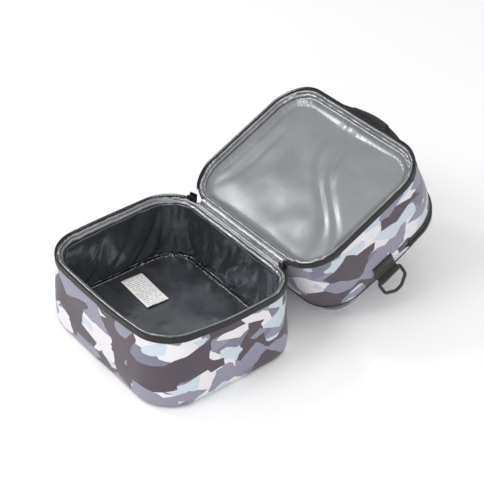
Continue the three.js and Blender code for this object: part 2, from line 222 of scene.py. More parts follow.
def make_object(name, points, faces, uvs=None):
    """A mesh object from millimetre points, with one uv pair for each face corner, or all at zero."""
    mesh = bpy.data.meshes.new(name)
    mesh.from_pydata((np.asarray(points, float) * MM).tolist(), [], faces)
    if uvs is None:
        uvs = np.zeros((len(mesh.loops), 2))
    layer = mesh.uv_layers.new(name="UVMap")
    layer.data.foreach_set("uv", (np.asarray(uvs, float) * MM).ravel())
    mesh.polygons.foreach_set("use_smooth", [True] * len(mesh.polygons))
    mesh.update()
    made = new_object(name, mesh)
    tidy_normals(mesh)
    return made


def tidy_normals(mesh):
    work = bmesh.new()
    work.from_mesh(mesh)
    bmesh.ops.recalc_face_normals(work, faces=work.faces)
    work.to_mesh(mesh)
    work.free()


def loft(name, rows, u, v, round_u=True, round_v=False, ends=True, plain_ends=False):
    """Joins rows of points with quads; u and v run one step past the last point where a row or column closes.

    A form that closes one way only gets end caps when ends is true. Plain ends have their uv at zero.
    """
    count, across = len(rows), len(rows[0])
    points = np.concatenate(rows)
    faces, uvs = [], []
    for i in range(count if round_v else count - 1):
        for j in range(across if round_u else across - 1):
            right, up = (j + 1) % across, (i + 1) % count
            faces.append((i * across + j, i * across + right, up * across + right, up * across + j))
            uvs += [(u[j], v[i]), (u[j + 1], v[i]), (u[j + 1], v[i + 1]), (u[j], v[i + 1])]
    caps = []
    if ends and round_u and not round_v:
        caps = [range(across), range((count - 1) * across, count * across)]
    if ends and round_v and not round_u:
        caps = [range(0, count * across, across), range(across - 1, count * across, across)]
    for cap in caps:
        faces.append(tuple(cap))
        uvs += [(0, 0) if plain_ends else tuple(points[k][:2]) for k in cap]
    return make_object(name, points, faces, uvs)


def grid_faces(columns, rows):
    """Quads between the points of a grid that is numbered row by row."""
    corners = [j * columns + i for j in range(rows - 1) for i in range(columns - 1)]
    return [(corner, corner + 1, corner + columns + 1, corner + columns) for corner in corners]


def grid_border(columns, rows):
    """The grid's edge points in order, once round."""
    last = (rows - 1) * columns
    border = list(range(columns))
    border += [j * columns + columns - 1 for j in range(1, rows)]
    border += list(range(last + columns - 2, last - 1, -1))
    border += [j * columns for j in range(rows - 2, 0, -1)]
    return border


def path_lengths(profile):
    steps = [math.dist(a, b) for a, b in zip(profile, profile[1:])]
    return np.concatenate([[0], np.cumsum(steps)])


def body_loft(name, shift, profile, spacing=2.5, span=None, round_v=False, wrinkle=None, opened=False,
              ends=True):
    """Lofts a profile round the outline, or along one span of it."""
    start, stop = span or (0, PERIMETER)
    count = max(3, round((stop - start) / spacing))
    s = np.linspace(start, stop, count + (span is not None), endpoint=span is not None)
    rows = body_rows(shift, s, profile)
    if wrinkle:
        rows = wrinkle(rows, s, profile)
    if opened:
        rows = [swing_open(row) for row in rows]
    around = path_lengths(profile)
    around = np.append(around, around[-1] + around[1])
    return loft(name, rows, np.append(s, PERIMETER), around, round_u=span is None, round_v=round_v, ends=ends)


def arc_profile(centre, radius, start, stop, steps):
    """Points (inset, z) on an arc; angles are in degrees from the inset axis."""
    angles = [math.radians(start + (stop - start) * k / steps) for k in range(steps + 1)]
    return [(centre[0] + radius * math.cos(a), centre[1] + radius * math.sin(a)) for a in angles]


def straight(a, b, steps):
    return [(a[0] + (b[0] - a[0]) * k / steps, a[1] + (b[1] - a[1]) * k / steps) for k in range(steps + 1)]


def add_modifier(made, kind, **values):
    modifier = made.modifiers.new(kind.lower(), kind)
    for key, value in values.items():
        setattr(modifier, key, value)
    return modifier


def dress(made, body, look, *replaced, blend=None):
    """Gives a piece its material, hangs it on its body when no blend is given, and hides the CAD nodes it
    stands for.

    Blend holds the second body and two points, between which fabric passes from the first body to the second;
    these are not used, and a piece with a blend is only baked where it stands.
    """
    slot, material = look
    made.data.materials.append(material)
    if blend:
        other, start, end = blend
        tuple(Vector(start) * MM)
        tuple(Vector(end) * MM)
        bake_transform(made)
    else:
        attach(made, body)
    if replaced:
        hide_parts(*replaced)


# ================= materials =================
def shader(name):
    material = bpy.data.materials.new(name)
    material.use_nodes = True
    tree = material.node_tree
    return material, tree, tree.nodes["Principled BSDF"]


def add(tree, kind, links=None, **values):
    """Adds a node; values that name an input set it, others set a property of the node."""
    made = tree.nodes.new(kind)
    for key, value in values.items():
        if key in made.inputs:
            made.inputs[key].default_value = value
        else:
            setattr(made, key, value)
    for key, source in (links or {}).items():
        tree.links.new(source, made.inputs[key])
    return made


def plug(tree, socket, value):
    """Sets an input, or links it when the value is another node's output."""
    if isinstance(value, bpy.types.NodeSocket):
        tree.links.new(value, socket)
    else:
        socket.default_value = value


def feed(tree, node, **values):
    """Plugs the inputs that the values name; an underscore stands for a space."""
    for key, value in values.items():
        plug(tree, node.inputs[key.replace("_", " ")], value)


def maths(tree, operation, a, b=0.0):
    made = add(tree, "ShaderNodeMath", operation=operation)
    plug(tree, made.inputs[0], a)
    plug(tree, made.inputs[1], b)
    return made.outputs[0]


def times(tree, a, b):
    return maths(tree, "MULTIPLY", a, b)


def plus(tree, a, b):
    return maths(tree, "ADD", a, b)


def blend_colour(tree, factor, a, b):
    made = add(tree, "ShaderNodeMix", data_type="RGBA")
    for number, value in ((0, factor), (6, a), (7, b)):
        plug(tree, made.inputs[number], value)
    return made.outputs[2]


def cloud(tree, place, scale, detail, **more):
    """Smooth noise between 0 and 1."""
    made = add(tree, "ShaderNodeTexNoise", {"Vector": place}, Scale=scale, Detail=detail, **more)
    return made.outputs["Fac"]


def scaled(colour, factor):
    """A lighter or darker shade of a colour."""
    return tuple(min(1.0, c * factor) for c in colour[:3]) + (1,)


def set_bump(tree, principled, height, strength, distance):
    made = add(tree, "ShaderNodeBump", {"Height": height}, Strength=strength, Distance=distance)
    feed(tree, principled, Normal=made.outputs[0])


def uv_of(tree):
    return add(tree, "ShaderNodeUVMap").outputs[0]


def place_of(tree):
    return add(tree, "ShaderNodeTexCoord").outputs["Object"]


def weave_height(tree, uv, pitch):
    """Crossing threads of a plain weave, as a height between 0 and 1."""
    parts = add(tree, "ShaderNodeSeparateXYZ", {0: uv})
    threads = []
    for way in parts.outputs[:2]:
        threads.append(maths(tree, "ABSOLUTE", maths(tree, "SINE", times(tree, way, math.pi / pitch))))
    return times(tree, *threads)


CAMO = {
    "lilac": (0.270, 0.262, 0.345, 1),
    "slate": (0.195, 0.190, 0.262, 1),
    "plum": (0.080, 0.060, 0.078, 1),
    "cream": (0.780, 0.750, 0.780, 1),
    "ice": (0.560, 0.640, 0.710, 1),
}


# Colour, share of the cloth, turn in degrees, and the sizes of a cell and of a cluster of cells, in metres.
CAMO_LAYERS = [
    ("slate", 0.47, 22, 0.046, 0.080),
    ("cream", 0.49, 15, 0.036, 0.060),
    ("ice", 0.44, -20, 0.030, 0.052),
    ("plum", 0.48, 30, 0.038, 0.064),
    ("lilac", 0.39, -12, 0.030, 0.055),
]


def camo_patches(tree, uv, seed, cell, cluster, share, stretch, turn):
    """Mask of angular patches: neighbouring cells join where slow noise at their centres is high."""
    placed = add(tree, "ShaderNodeMapping", {"Vector": uv}, Location=(seed * 1.7, seed * 0.9, 0),
                 Rotation=(0, 0, math.radians(turn)), Scale=(1, stretch, 1))
    wobble = add(tree, "ShaderNodeTexNoise", {"Vector": placed.outputs[0]}, Scale=60.0, Detail=1.0)
    shift = add(tree, "ShaderNodeVectorMath", {0: wobble.outputs["Color"]}, operation="SCALE", Scale=0.004)
    moved = add(tree, "ShaderNodeVectorMath", {0: placed.outputs[0], 1: shift.outputs[0]}, operation="ADD")
    cells = add(tree, "ShaderNodeTexVoronoi", {"Vector": moved.outputs[0]}, Scale=1 / cell)
    slow = cloud(tree, cells.outputs["Position"], 1 / cluster, 0.0)
    return maths(tree, "GREATER_THAN", slow, 1 - share)


def camo_material(name, seed):
    """Printed woven polyester: five flat colours in angular patches, with a fine weave and a worn bloom."""
    material, tree, principled = shader(name)
    uv = uv_of(tree)
    colour = CAMO["lilac"]
    for number, (tint, share, turn, cell, cluster) in enumerate(CAMO_LAYERS):
        mask = camo_patches(tree, uv, seed + number * 3, cell, cluster, share, 1.7, turn)
        colour = blend_colour(tree, mask, colour, CAMO[tint])
    grain = cloud(tree, uv, 900.0, 2.0)
    bloom = cloud(tree, uv, 30.0, 3.0)
    shade = plus(tree, times(tree, grain, 0.34), times(tree, bloom, 0.18))
    value = plus(tree, shade, 0.76)
    tone = add(tree, "ShaderNodeHueSaturation", {"Color": colour, "Value": value})
    feed(tree, principled, Base_Color=tone.outputs[0], Roughness=0.82, Sheen_Weight=0.25, Sheen_Roughness=0.5)
    height = plus(tree, weave_height(tree, uv, 0.0007), times(tree, bloom, 2.0))
    set_bump(tree, principled, height, 0.35, 0.0004)
    return material


def film_material(name, dark, light, metal, rough, crease):
    """Coated silver film: soft metallic sheen, fine grain, and shallow creases of its own."""
    material, tree, principled = shader(name)
    place = place_of(tree)
    broad = cloud(tree, place, 28.0, 3.0, Distortion=0.6)
    fine = cloud(tree, place, 420.0, 3.0)
    colour = blend_colour(tree, broad, dark, light)
    roughness = plus(tree, times(tree, broad, 0.22), rough - 0.1)
    feed(tree, principled, Base_Color=colour, Metallic=metal, Roughness=roughness, Coat_Weight=0.25,
         Coat_Roughness=0.25)
    height = plus(tree, times(tree, broad, crease), times(tree, fine, 0.04))
    set_bump(tree, principled, height, 0.5, 0.003)
    return material


def tape_material(name, colour, pitch):
    """Woven tape or webbing: ribs across it, a soft sheen, and rib crests drawn lighter in slow patches."""
    material, tree, principled = shader(name)
    uv = uv_of(tree)
    ribs = weave_height(tree, uv, pitch)
    patch_noise = cloud(tree, uv, 120.0, 4.0)
    lighter_share = times(tree, ribs, patch_noise)
    # The colour is lighter on the rib crests where the slow noise is high.
    feed(tree, principled, Base_Color=blend_colour(tree, lighter_share, colour, scaled(colour, 2.6)), Roughness=0.75,
         Sheen_Weight=0.2)
    set_bump(tree, principled, ribs, 0.7, pitch * 0.4)
    return material


def moulded_material(name, colour, rough, metal=0.0):
    """Moulded plastic or painted metal: fine orange peel, and a roughness that varies with handling."""
    material, tree, principled = shader(name)
    place = place_of(tree)
    peel = cloud(tree, place, 1500.0, 2.0)
    lighter_share = cloud(tree, place, 160.0, 4.0)
    patches = times(tree, lighter_share, 0.6)
    shaded = blend_colour(tree, patches, colour, scaled(colour, 2.2))
    roughness = plus(tree, times(tree, lighter_share, 0.3), rough - 0.15)
    feed(tree, principled, Base_Color=shaded, Roughness=roughness, Metallic=metal)
    set_bump(tree, principled, peel, 0.15, 0.0003)
    return material


def foam_material(name, colour):
    """Closed-cell foam: small round cells."""
    material, tree, principled = shader(name)
    cells = add(tree, "ShaderNodeTexVoronoi", {"Vector": place_of(tree)}, Scale=900.0).outputs["Distance"]
    feed(tree, principled, Base_Color=blend_colour(tree, cells, colour, scaled(colour, 0.85)), Roughness=0.9)
    set_bump(tree, principled, cells, 0.4, 0.0006)
    return material


def label_material(name, length, width):
    """White satin label with broken grey rules, which stand for care marks and carry no lettering."""
    material, tree, principled = shader(name)
    parts = add(tree, "ShaderNodeSeparateXYZ", {0: uv_of(tree)})
    along = maths(tree, "DIVIDE", parts.outputs[1], length * MM)
    across = maths(tree, "DIVIDE", parts.outputs[0], width * MM)
    rules, dashes, margin = 17, 24, 0.41
    row = times(tree, along, rules)
    stripe = maths(tree, "LESS_THAN", maths(tree, "FRACT", row), 0.40)
    cell = {0: times(tree, across, dashes), 1: maths(tree, "FLOOR", row)}
    broken = cloud(tree, add(tree, "ShaderNodeCombineXYZ", cell).outputs[0], 1.3, 1.0)
    dash = maths(tree, "GREATER_THAN", broken, 0.47)
    centred = maths(tree, "ABSOLUTE", maths(tree, "SUBTRACT", across, 0.5))
    inside = maths(tree, "LESS_THAN", centred, margin)
    mask = times(tree, times(tree, stripe, dash), inside)
    colour = blend_colour(tree, times(tree, mask, 0.75), (0.95, 0.95, 0.93, 1), (0.16, 0.16, 0.17, 1))
    feed(tree, principled, Base_Color=colour, Roughness=0.6)
    set_bump(tree, principled, weave_height(tree, uv_of(tree), 0.0005), 0.3, 0.0002)
    return material


# Each look is a material slot of the frame and the material that shows it.
PRINT = ("camo_print", camo_material("camo_print", 4))
# The grey film is the silver film drawn darker: partly the grey lining's own tone, partly painted shade of
# the deep tub and lid insides that it lines.
LINING_SHADED = ("grey_lining", film_material("grey_film_shaded", (0.070, 0.076, 0.089, 1), (0.15, 0.158, 0.175, 1),
                                            metal=0.7, rough=0.25, crease=0.3))
WELT_FILM = ("grey_lining", film_material("welt_film", (0.06, 0.064, 0.072, 1), (0.30, 0.31, 0.33, 1),
                                          metal=0.8, rough=0.24, crease=0.6))
LINING_LIGHT = ("silver_lining", film_material("silver_film", (0.20, 0.206, 0.218, 1), (0.27, 0.277, 0.29, 1),
                                               metal=0.45, rough=0.31, crease=0.2))
FOIL = ("silver_lining", film_material("binding_film", (0.12, 0.126, 0.136, 1), (0.42, 0.43, 0.45, 1),
                                       metal=0.75, rough=0.32, crease=0.35))
TAPE = ("black_webbing", tape_material("zip_tape", (0.012, 0.012, 0.013, 1), 0.0012))
STRAP = ("black_webbing", tape_material("webbing", (0.016, 0.016, 0.015, 1), 0.0017))
COIL = ("black_plastic", moulded_material("zip_coil", (0.014, 0.014, 0.015, 1), 0.42))
RING_PLASTIC = ("black_plastic", moulded_material("ring_plastic", (0.020, 0.020, 0.020, 1), 0.50))
BLACK_METAL = ("black_metal", moulded_material("slider_paint", (0.022, 0.022, 0.024, 1), 0.38, metal=0.6))
FOAM_LOOK = ("foam", foam_material("foam", (0.80, 0.80, 0.77, 1)))
BOARD_LOOK = ("board", moulded_material("floor_board", (0.55, 0.55, 0.52, 1), 0.6))


# ================= cloth =================
def slacken(made, pinned, growth, frames, sag, limit, backing):
    """Lets a sheet a little too big for its frame buckle into soft folds, by cloth simulation.

    Backing holds, for each vertex, the direction of the padding behind it. A soft stop lets the sheet go
    only a fraction of a millimetre that way. Limit bounds how far it moves in any direction.
    """
    rest = np.array([v.co for v in made.data.vertices])
    group = made.vertex_groups.new(name="pinned")
    group.add([int(k) for k in pinned], 1.0, "REPLACE")
    cloth = made.modifiers.new("cloth", "CLOTH")
    cloth.settings.vertex_group_mass = "pinned"
    cloth.settings.quality = 7
    cloth.settings.mass = 0.25
    cloth.settings.tension_stiffness = 18
    cloth.settings.compression_stiffness = 18
    cloth.settings.shear_stiffness = 8
    cloth.settings.bending_stiffness = 3.0
    cloth.settings.air_damping = 4
    cloth.settings.shrink_min = -growth
    cloth.settings.effector_weights.gravity = sag
    scene = bpy.context.scene
    cloth.point_cache.frame_start = 1
    cloth.point_cache.frame_end = frames
    for number in range(1, frames + 1):
        scene.frame_set(number)
    shown = made.evaluated_get(bpy.context.evaluated_depsgraph_get())
    moved = np.array([v.co for v in shown.data.vertices]) - rest
    made.modifiers.remove(cloth)
    scene.frame_set(1)
    length = np.maximum(np.linalg.norm(moved, axis=1), 1e-9)
    cap = limit * MM
    moved *= (cap * np.tanh(length / cap) / length)[:, None]
    depth = (moved * backing).sum(1)
    give = 0.5 * MM
    kept = give * (math.log(2) - np.log1p(np.exp(-depth / give)))
    moved += backing * (kept - depth)[:, None]
    made.data.vertices.foreach_set("co", (rest + moved).astype(np.float32).ravel())
    made.vertex_groups.remove(group)
    made.data.update()


# ================= lower tub =================
def shell_profile(inset, top, bevel):
    """From the middle of the underside, out, round the bottom edge and up the wall."""
    base = [(CORNER - 4 - k * (CORNER - 4 - inset - bevel) / 6, inset) for k in range(6)]
    turn = arc_profile((inset + bevel, inset + bevel), bevel, 270, 180, 6)
    return base + turn + straight((inset, inset + bevel), (inset, top), 22)[1:]


def build_tub_fabric():
    """Outer print: one closed shell, with the fabric's thickness."""
    outside = shell_profile(0, TUB_TOP - 1, 5)
    inside = shell_profile(FABRIC, TUB_TOP - 1, 5)
    made = body_loft("tub_fabric", tub_shift, outside + inside[::-1])
    dress(made, "tub", PRINT, "base_shell")


def build_tub_core():
    """Foam and board between the print and the lining."""
    outside = shell_profile(FOAM_OUT, TUB_TOP - 4, 5)
    inside = shell_profile(FOAM_IN, TUB_TOP - 4, 3)
    made = body_loft("tub_foam", tub_shift, outside + inside[::-1], spacing=5)
    dress(made, "tub", FOAM_LOOK, "base_foam")
    board = [(CORNER - 4, FOAM_IN + 0.3), (LINING_OUT, FOAM_IN + 0.3), (LINING_OUT, FOAM_IN + 1.8),
             (CORNER - 4, FOAM_IN + 1.8)]
    made = body_loft("tub_floor_board", tub_shift, board, spacing=5)
    dress(made, "tub", BOARD_LOOK, "base_floor_board")


def tub_wall_wrinkle(rows, s, profile):
    """Soft upright folds in the loose lining, each leaning its own way."""
    _, outward = anchors(s)
    for row, (_, z) in zip(rows, profile):
        fade = max(0.0, math.sin(math.pi * np.clip((z - FLOOR_Z) / (TUB_TOP - FLOOR_Z), 0, 1))) ** 0.7
        lean = s + 0.55 * z
        fold = np.abs(wall_noise(lean, z * 0.3, 44, 11)) * 13.0
        fold = fold + np.abs(wall_noise(lean, z * 0.5, 22, 12)) * 3.4
        seam = 1.2 * bump(s, CORE_Y - 2, 1.4) + 1.2 * bump(s, CORNER_FRONT_LEFT + 20, 1.4)
        row[:, :2] -= outward * (fade * fold + seam * min(1, fade * 3))[:, None]
    return rows


def build_tub_lining():
    """Loose film on the walls."""
    wall = straight((LINING_IN + 0.9, TUB_TOP - 5), (LINING_IN + 0.9, FLOOR_Z - 0.6), 34)
    made = body_loft("tub_lining_wall", tub_shift, wall, spacing=2.2, wrinkle=tub_wall_wrinkle, ends=False)
    around = len(made.data.vertices) // len(wall)
    edge = list(range(around)) + list(range(around * (len(wall) - 1), around * len(wall)))
    s = np.linspace(0, PERIMETER, around, endpoint=False)
    outward = np.tile(np.column_stack([anchors(s)[1], np.zeros(around)]), (len(wall), 1))
    slacken(made, edge, 0.014, 16, 0.3, 4.5, outward)
    add_modifier(made, "SOLIDIFY", thickness=0.6 * MM, offset=-1)
    dress(made, "tub", LINING_SHADED, "base_liner")


def inset_outline(x, y, half_x, half_y, radius):
    """Moves a point on a rectangle's edge onto the same rectangle with rounded corners."""
    core_x, core_y = half_x - radius, half_y - radius
    if abs(x) <= core_x or abs(y) <= core_y:
        return x, y
    cx, cy = math.copysign(core_x, x), math.copysign(core_y, y)
    length = math.hypot(x - cx, y - cy)
    return cx + (x - cx) / length * radius, cy + (y - cy) / length * radius


def rounded_sheet(inset, steps, height):
    """A square grid bent to fill the plan outline.

    Height(x, y, level) gives z, and level runs from 0 in the middle to 1 at the edge.
    """
    half_x, half_y, radius = WIDTH / 2 - inset, LENGTH / 2 - inset, CORNER - inset
    points, edge = [], []
    for j in range(-steps, steps + 1):
        for i in range(-steps, steps + 1):
            level = max(abs(i), abs(j)) / steps
            x, y = 0.0, 0.0
            if level > 0:
                square_x, square_y = i / level / steps * half_x, j / level / steps * half_y
                x, y = inset_outline(square_x, square_y, half_x, half_y, radius)
            if level == 1:
                edge.append(len(points))
            points.append((x * level, y * level, height(x * level, y * level, level)))
    faces = grid_faces(2 * steps + 1, 2 * steps + 1)
    return points, faces, [points[k][:2] for face in faces for k in face], edge


def build_tub_floor():
    """The lining's floor panel: nearly flat, with a soft hollow at the welt."""
    def height(x, y, level):
        swell = 1.3 * (1 - level ** 4)
        return FLOOR_Z + swell + 0.7 * noise.noise(Vector((x, y, 0)) / 40 + Vector((3, 1, 9)))
    points, faces, uvs, edge = rounded_sheet(LINING_IN + 1.0, 44, height)
    made = make_object("tub_lining_floor", points, faces, uvs)
    slacken(made, edge, 0.004, 10, 0.0, 1.0, np.tile((0, 0, -1.0), (len(points), 1)))
    add_modifier(made, "SOLIDIFY", thickness=0.6 * MM, offset=-1)
    dress(made, "tub", LINING_SHADED)


def pucker(size, seed, amount, centre, width):
    """A wrinkle that gathers a cord, most of all round one place."""
    def wrinkle(rows, s, profile):
        _, outward = anchors(s)
        for number, (row, (inset, z)) in enumerate(zip(rows, profile)):
            strength = amount * (0.3 + bump(s, centre, width))
            push = wall_noise(s, inset * 3 + z * 2 + number * 1.5, size, seed)
            rise = wall_noise(s, inset * 2 - z * 3 + number * 1.5, size, seed + 1)
            row[:, :2] += outward * (strength * push)[:, None]
            row[:, 2] += strength * rise
        return rows
    return wrinkle


def build_floor_welt():
    """Two gathered ridges where the floor is sewn to the walls."""
    for name, inset, seed in (("tub_welt_outer", 9.5, 21), ("tub_welt_inner", 15.0, 23)):
        section = arc_profile((inset, FLOOR_Z + 1.2), 1.25, 0, 330, 9)
        made = body_loft(name, tub_shift, section, spacing=1.8, round_v=True,
                         wrinkle=pucker(4.5, seed, 2.0, CORNER_BACK_LEFT, 55))
        add_modifier(made, "SUBSURF", levels=1, render_levels=1)
        dress(made, "tub", WELT_FILM, "base_floor_welt")


def build_label():
    """Sewn care label, turned a little and lifting at its free end."""
    low, high = node_box("care_label")
    width, length = high.x - low.x, high.y - low.y
    centre = (low + high) / 2
    across, along = 14, 30
    turn = math.radians(-3.5)
    points, flat = [], []
    for j in range(along + 1):
        for i in range(across + 1):
            x, y = (i / across - 0.5) * width, (j / along - 0.5) * length
            lift = 0.7 + 1.6 * max(0.0, -y / length) ** 2 + 0.5 * noise.noise(Vector((x, y, 4)) / 17)
            px = centre.x + x * math.cos(turn) - y * math.sin(turn)
            py = centre.y + x * math.sin(turn) + y * math.cos(turn)
            points.append((px, py, FLOOR_Z + 1.9 + lift))
            flat.append((i / across * width, j / along * length))
    faces = grid_faces(across + 1, along + 1)
    made = make_object("care_label_sheet", points, faces, [flat[k] for face in faces for k in face])
    add_modifier(made, "SOLIDIFY", thickness=0.35 * MM, offset=0)
    dress(made, "tub", ("label", label_material("care_label", length, width)), "care_label")


# ================= rims: binding, tape and coil =================
BINDING = [(1.4, -6.0), (1.0, -2.0), (1.2, 0.4), (2.3, 1.6), (3.9, 1.5), (4.9, 0.3), (5.3, -1.3),
           (5.9, -2.3), (7.0, -2.2), (7.9, -3.2), (8.1, -5.0), (7.6, -6.6), (8.1, -8.6), (8.3, -11.5),
           (7.6, -11.5), (7.0, -8.6), (6.7, -5.2), (5.6, -4.2), (3.0, -3.4), (2.0, -6.0)]


def crinkle(seed, creases):
    """Crushed film: sharp small folds everywhere, deeper where the film gathers in a corner."""
    def wrinkle(rows, s, profile):
        _, outward = anchors(s)
        gather = sum(bump(s, centre, 32) for centre in creases)
        for row, (inset, z) in zip(rows, profile):
            fine = np.abs(wall_noise(s, inset * 2.0 + z, 9.5, seed)) * 2.4 - 0.5
            slow = wall_noise(s, inset, 22, seed + 1)
            amount = (0.6 + 1.5 * gather) * fine + 1.0 * slow
            row[:, 2] -= amount * 0.6
            row[:, :2] -= outward * (amount * 0.45)[:, None]
        return rows
    return wrinkle


def build_rim(body, node, shift, rim_z, up, seed):
    """One zipped rim; up is 1 when the rim faces +z in its own drawing and -1 when it faces -z."""
    opened = body == "lid"
    corners = (CORNER_BACK_LEFT, CORNER_BACK_RIGHT, CORNER_FRONT_LEFT, CORNER_FRONT_RIGHT)
    section = [(inset, rim_z + up * z) for inset, z in BINDING]
    made = body_loft(f"{body}_binding", shift, section, spacing=1.5, round_v=True,
                     wrinkle=crinkle(seed, corners), opened=opened)
    dress(made, body, FOIL, f"{node}_rim_binding")
    band = [(-0.2, -5.5), (-1.0, -5.5), (-1.25, -4.7), (-1.0, -3.7), (-1.0, -1.0), (-0.9, 1.2), (-0.3, 1.5),
            (0.5, 0.3), (0.4, -1.0)]
    tape = [(inset, rim_z + up * z) for inset, z in band]
    made = body_loft(f"{body}_tape", shift, tape, span=(ZIP_START, ZIP_END), round_v=True, opened=opened)
    dress(made, body, TAPE, f"{node}_zip_tape")
    start = ZIP_START + (LID_TEETH_LATE if opened else 1)
    made = build_teeth(f"{body}_teeth", shift, (start, PERIMETER - start), rim_z + up * 1.1, up * 2.3, opened)
    dress(made, body, COIL, f"{node}_zip_teeth")
    build_stitches(f"{body}_stitches", shift, rim_z - up * 4.2, (ZIP_START + 2, ZIP_END - 2), body, opened)


def row_of_bars(name, shift, centres, rings, opened):
    """Small closed bars in a row round the outline, each of four rings of four (along, inset, z) points."""
    corners = []
    for ring in rings:
        corners += [body_rows(shift, centres + along, [(inset, z)])[0] for along, inset, z in ring]
    flat = np.stack(corners, 1).reshape(-1, 3)
    faces = []
    for base in range(0, len(flat), 16):
        faces.append((base, base + 1, base + 2, base + 3))
        faces.append((base + 15, base + 14, base + 13, base + 12))
        for a in range(base, base + 12, 4):
            faces += [(a + k, a + (k + 1) % 4, a + (k + 1) % 4 + 4, a + k + 4) for k in range(4)]
    return make_object(name, swing_open(flat) if opened else flat, faces)


def build_teeth(name, shift, span, z, tall, opened):
    """A row of nylon coil teeth, each a small rounded bar across the tape's edge."""
    pitch, inner_end = 1.7, -0.2
    rings = []
    for depth, share, half in ((-2.0, 0.0, 0.30), (-1.9, 0.25, 0.52), (-1.9, 0.75, 0.52), (-1.7, 1.0, 0.30)):
        level = z + tall * share
        outer = [(-half, depth, level), (half, depth, level)]
        rings.append(outer + [(half, inner_end, level), (-half, inner_end, level)])
    return row_of_bars(name, shift, np.arange(span[0], span[1], pitch), rings, opened)


def build_stitches(name, shift, z, span, body, opened):
    """A row of thread stitches lying on the tape."""
    pitch, length = 3.2, 2.1
    thread = ((-1.1, -0.18), (-1.42, -0.1), (-1.42, 0.1), (-1.1, 0.18))
    rings = []
    for along, sink in ((-length / 2, 0.12), (-length / 4, -0.1), (length / 4, -0.1), (length / 2, 0.12)):
        rings.append([(along, inset + sink, z + rise) for inset, rise in thread])
    made = row_of_bars(name, shift, np.arange(span[0], span[1], pitch), rings, opened)
    dress(made, body, TAPE)


# ================= upper compartment =================
def crown(x, y):
    """Height of the outer face: soft shoulders, fuller in the middle, flat across the fold."""
    across = min(1.0, max(0.0, (WIDTH / 2 - abs(x)) / 34))
    along = min(1.0, max(0.0, (LENGTH / 2 - abs(y)) / 30))
    rise = math.sin(across * math.pi / 2) ** 0.7 * math.sin(along * math.pi / 2) ** 0.7
    return PIPING_Z + 4 + (LID_DEPTH - PIPING_Z - 4) * rise


def upper_sheet():
    """The whole outer skin of the lid, from its rim to the middle of its outer face, drawn closed."""
    steps = 40
    grid, faces, _, _ = rounded_sheet(3.0, steps, lambda x, y, level: crown(x, y))
    border = grid_border(2 * steps + 1, 2 * steps + 1)
    count = len(border)
    s = outline_distance(np.array([grid[k][:2] for k in border]))
    heights = [1, 6, 12, 19, 26, 33, 40, 47, 54, 61, 68, 75, TOP_RIM, FLAP_START, PIPING_Z, PIPING_Z + 3]
    walls = body_rows(lid_shift, s, [(0.0, z) for z in heights])
    points = list(np.concatenate(walls)) + [np.array(p) for p in grid]
    base = len(heights) * count
    sheet_faces, uvs = [], []
    for i in range(len(heights) - 1):
        for j in range(count):
            right = (j + 1) % count
            row, over = i * count, (i + 1) * count
            sheet_faces.append((row + j, row + right, over + right, over + j))
            end = s[right]
            if abs(end - s[j]) >= PERIMETER / 2:
                end += math.copysign(PERIMETER, s[j] - end)
            uvs += [(s[j], heights[i]), (end, heights[i]), (end, heights[i + 1]), (s[j], heights[i + 1])]
    top = base - count
    rounds = list(zip(range(count), border, [*range(1, count), 0], border[1:] + border[:1]))
    onto_face = [(top + j, top + right, base + over, base + own) for j, own, right, over in rounds]
    onto_face += [tuple(base + k for k in face) for face in faces]
    uvs += [tuple(points[k][:2] + FACE_UV_SHIFT) for face in onto_face for k in face]
    return np.array(points), sheet_faces + onto_face, uvs


def outline_distance(plan):
    """The distance s of the outline point nearest to each plan point."""
    samples = np.linspace(0, PERIMETER, 3200, endpoint=False)
    anchor, outward = anchors(samples)
    line = anchor + outward * CORNER
    return np.array([samples[np.argmin(((line - p) ** 2).sum(1))] for p in plan])


def cut_sheet(name, points, faces, uvs, keep_flap):
    """The lid's or the flap's share of the outer skin, parted at the top zip and at the fold."""
    made = make_object(name, points, faces, uvs)
    work = bmesh.new()
    work.from_mesh(made.data)
    geometry = work.verts[:] + work.edges[:] + work.faces[:]
    bmesh.ops.bisect_plane(work, geom=geometry, plane_co=(FOLD_X * MM, 0, 0), plane_no=(1, 0, 0))
    doomed = []
    for face in work.faces:
        middle = face.calc_center_median() / MM
        beyond = middle.x < FOLD_X
        in_flap = beyond and middle.z > FLAP_START - 0.4
        in_lid = not beyond or middle.z < TOP_RIM + 0.4
        if (keep_flap and not in_flap) or (not keep_flap and not in_lid):
            doomed.append(face)
    bmesh.ops.delete(work, geom=doomed, context="FACES")
    work.to_mesh(made.data)
    work.free()
    swing = Matrix.Scale(MM, 4) @ LID_TO_BAG @ Matrix.Scale(1 / MM, 4)
    made.data.transform(swing)
    add_modifier(made, "SOLIDIFY", thickness=FABRIC * MM, offset=-1)
    return made


def build_lid_fabric():
    """The outer print of the lid and of the top flap."""
    points, faces, uvs = upper_sheet()
    made = cut_sheet("lid_fabric", points, faces, uvs, keep_flap=False)
    dress(made, "lid", PRINT, "lid_shell")
    made = cut_sheet("flap_fabric", points, faces, uvs, keep_flap=True)
    dress(made, "top_flap", PRINT, "flap_shell")


def panel_height(x, y, level):
    """The panel dips behind the binding, then swells, with long soft creases from corner to corner."""
    drop = 4.5 + 6.5 * min(1.0, (1 - level) / 0.05) ** 0.5
    swell = 3.2 * (1 - level ** 2)
    bend = 0.7 * (y - 6 + 55 * (1 + math.tanh((x - 10) / 38)))
    near_edge = 0.9 * (y - 80 - 12 * (1 + math.tanh((x - 70) / 25)))
    folds = 2.2 * math.exp(-((bend - 7) / 5.5) ** 2) + 1.8 * math.exp(-((bend + 8) / 5) ** 2)
    folds = folds + 2.4 * math.exp(-(near_edge / 7) ** 2) * math.exp(-((x - 10) / 60) ** 2)
    lump = 1.5 * noise.noise(Vector((x, y, 0)) / 36 + Vector((8, 2, 5)))
    return drop - swell + (folds + lump) * (1 - level ** 6)


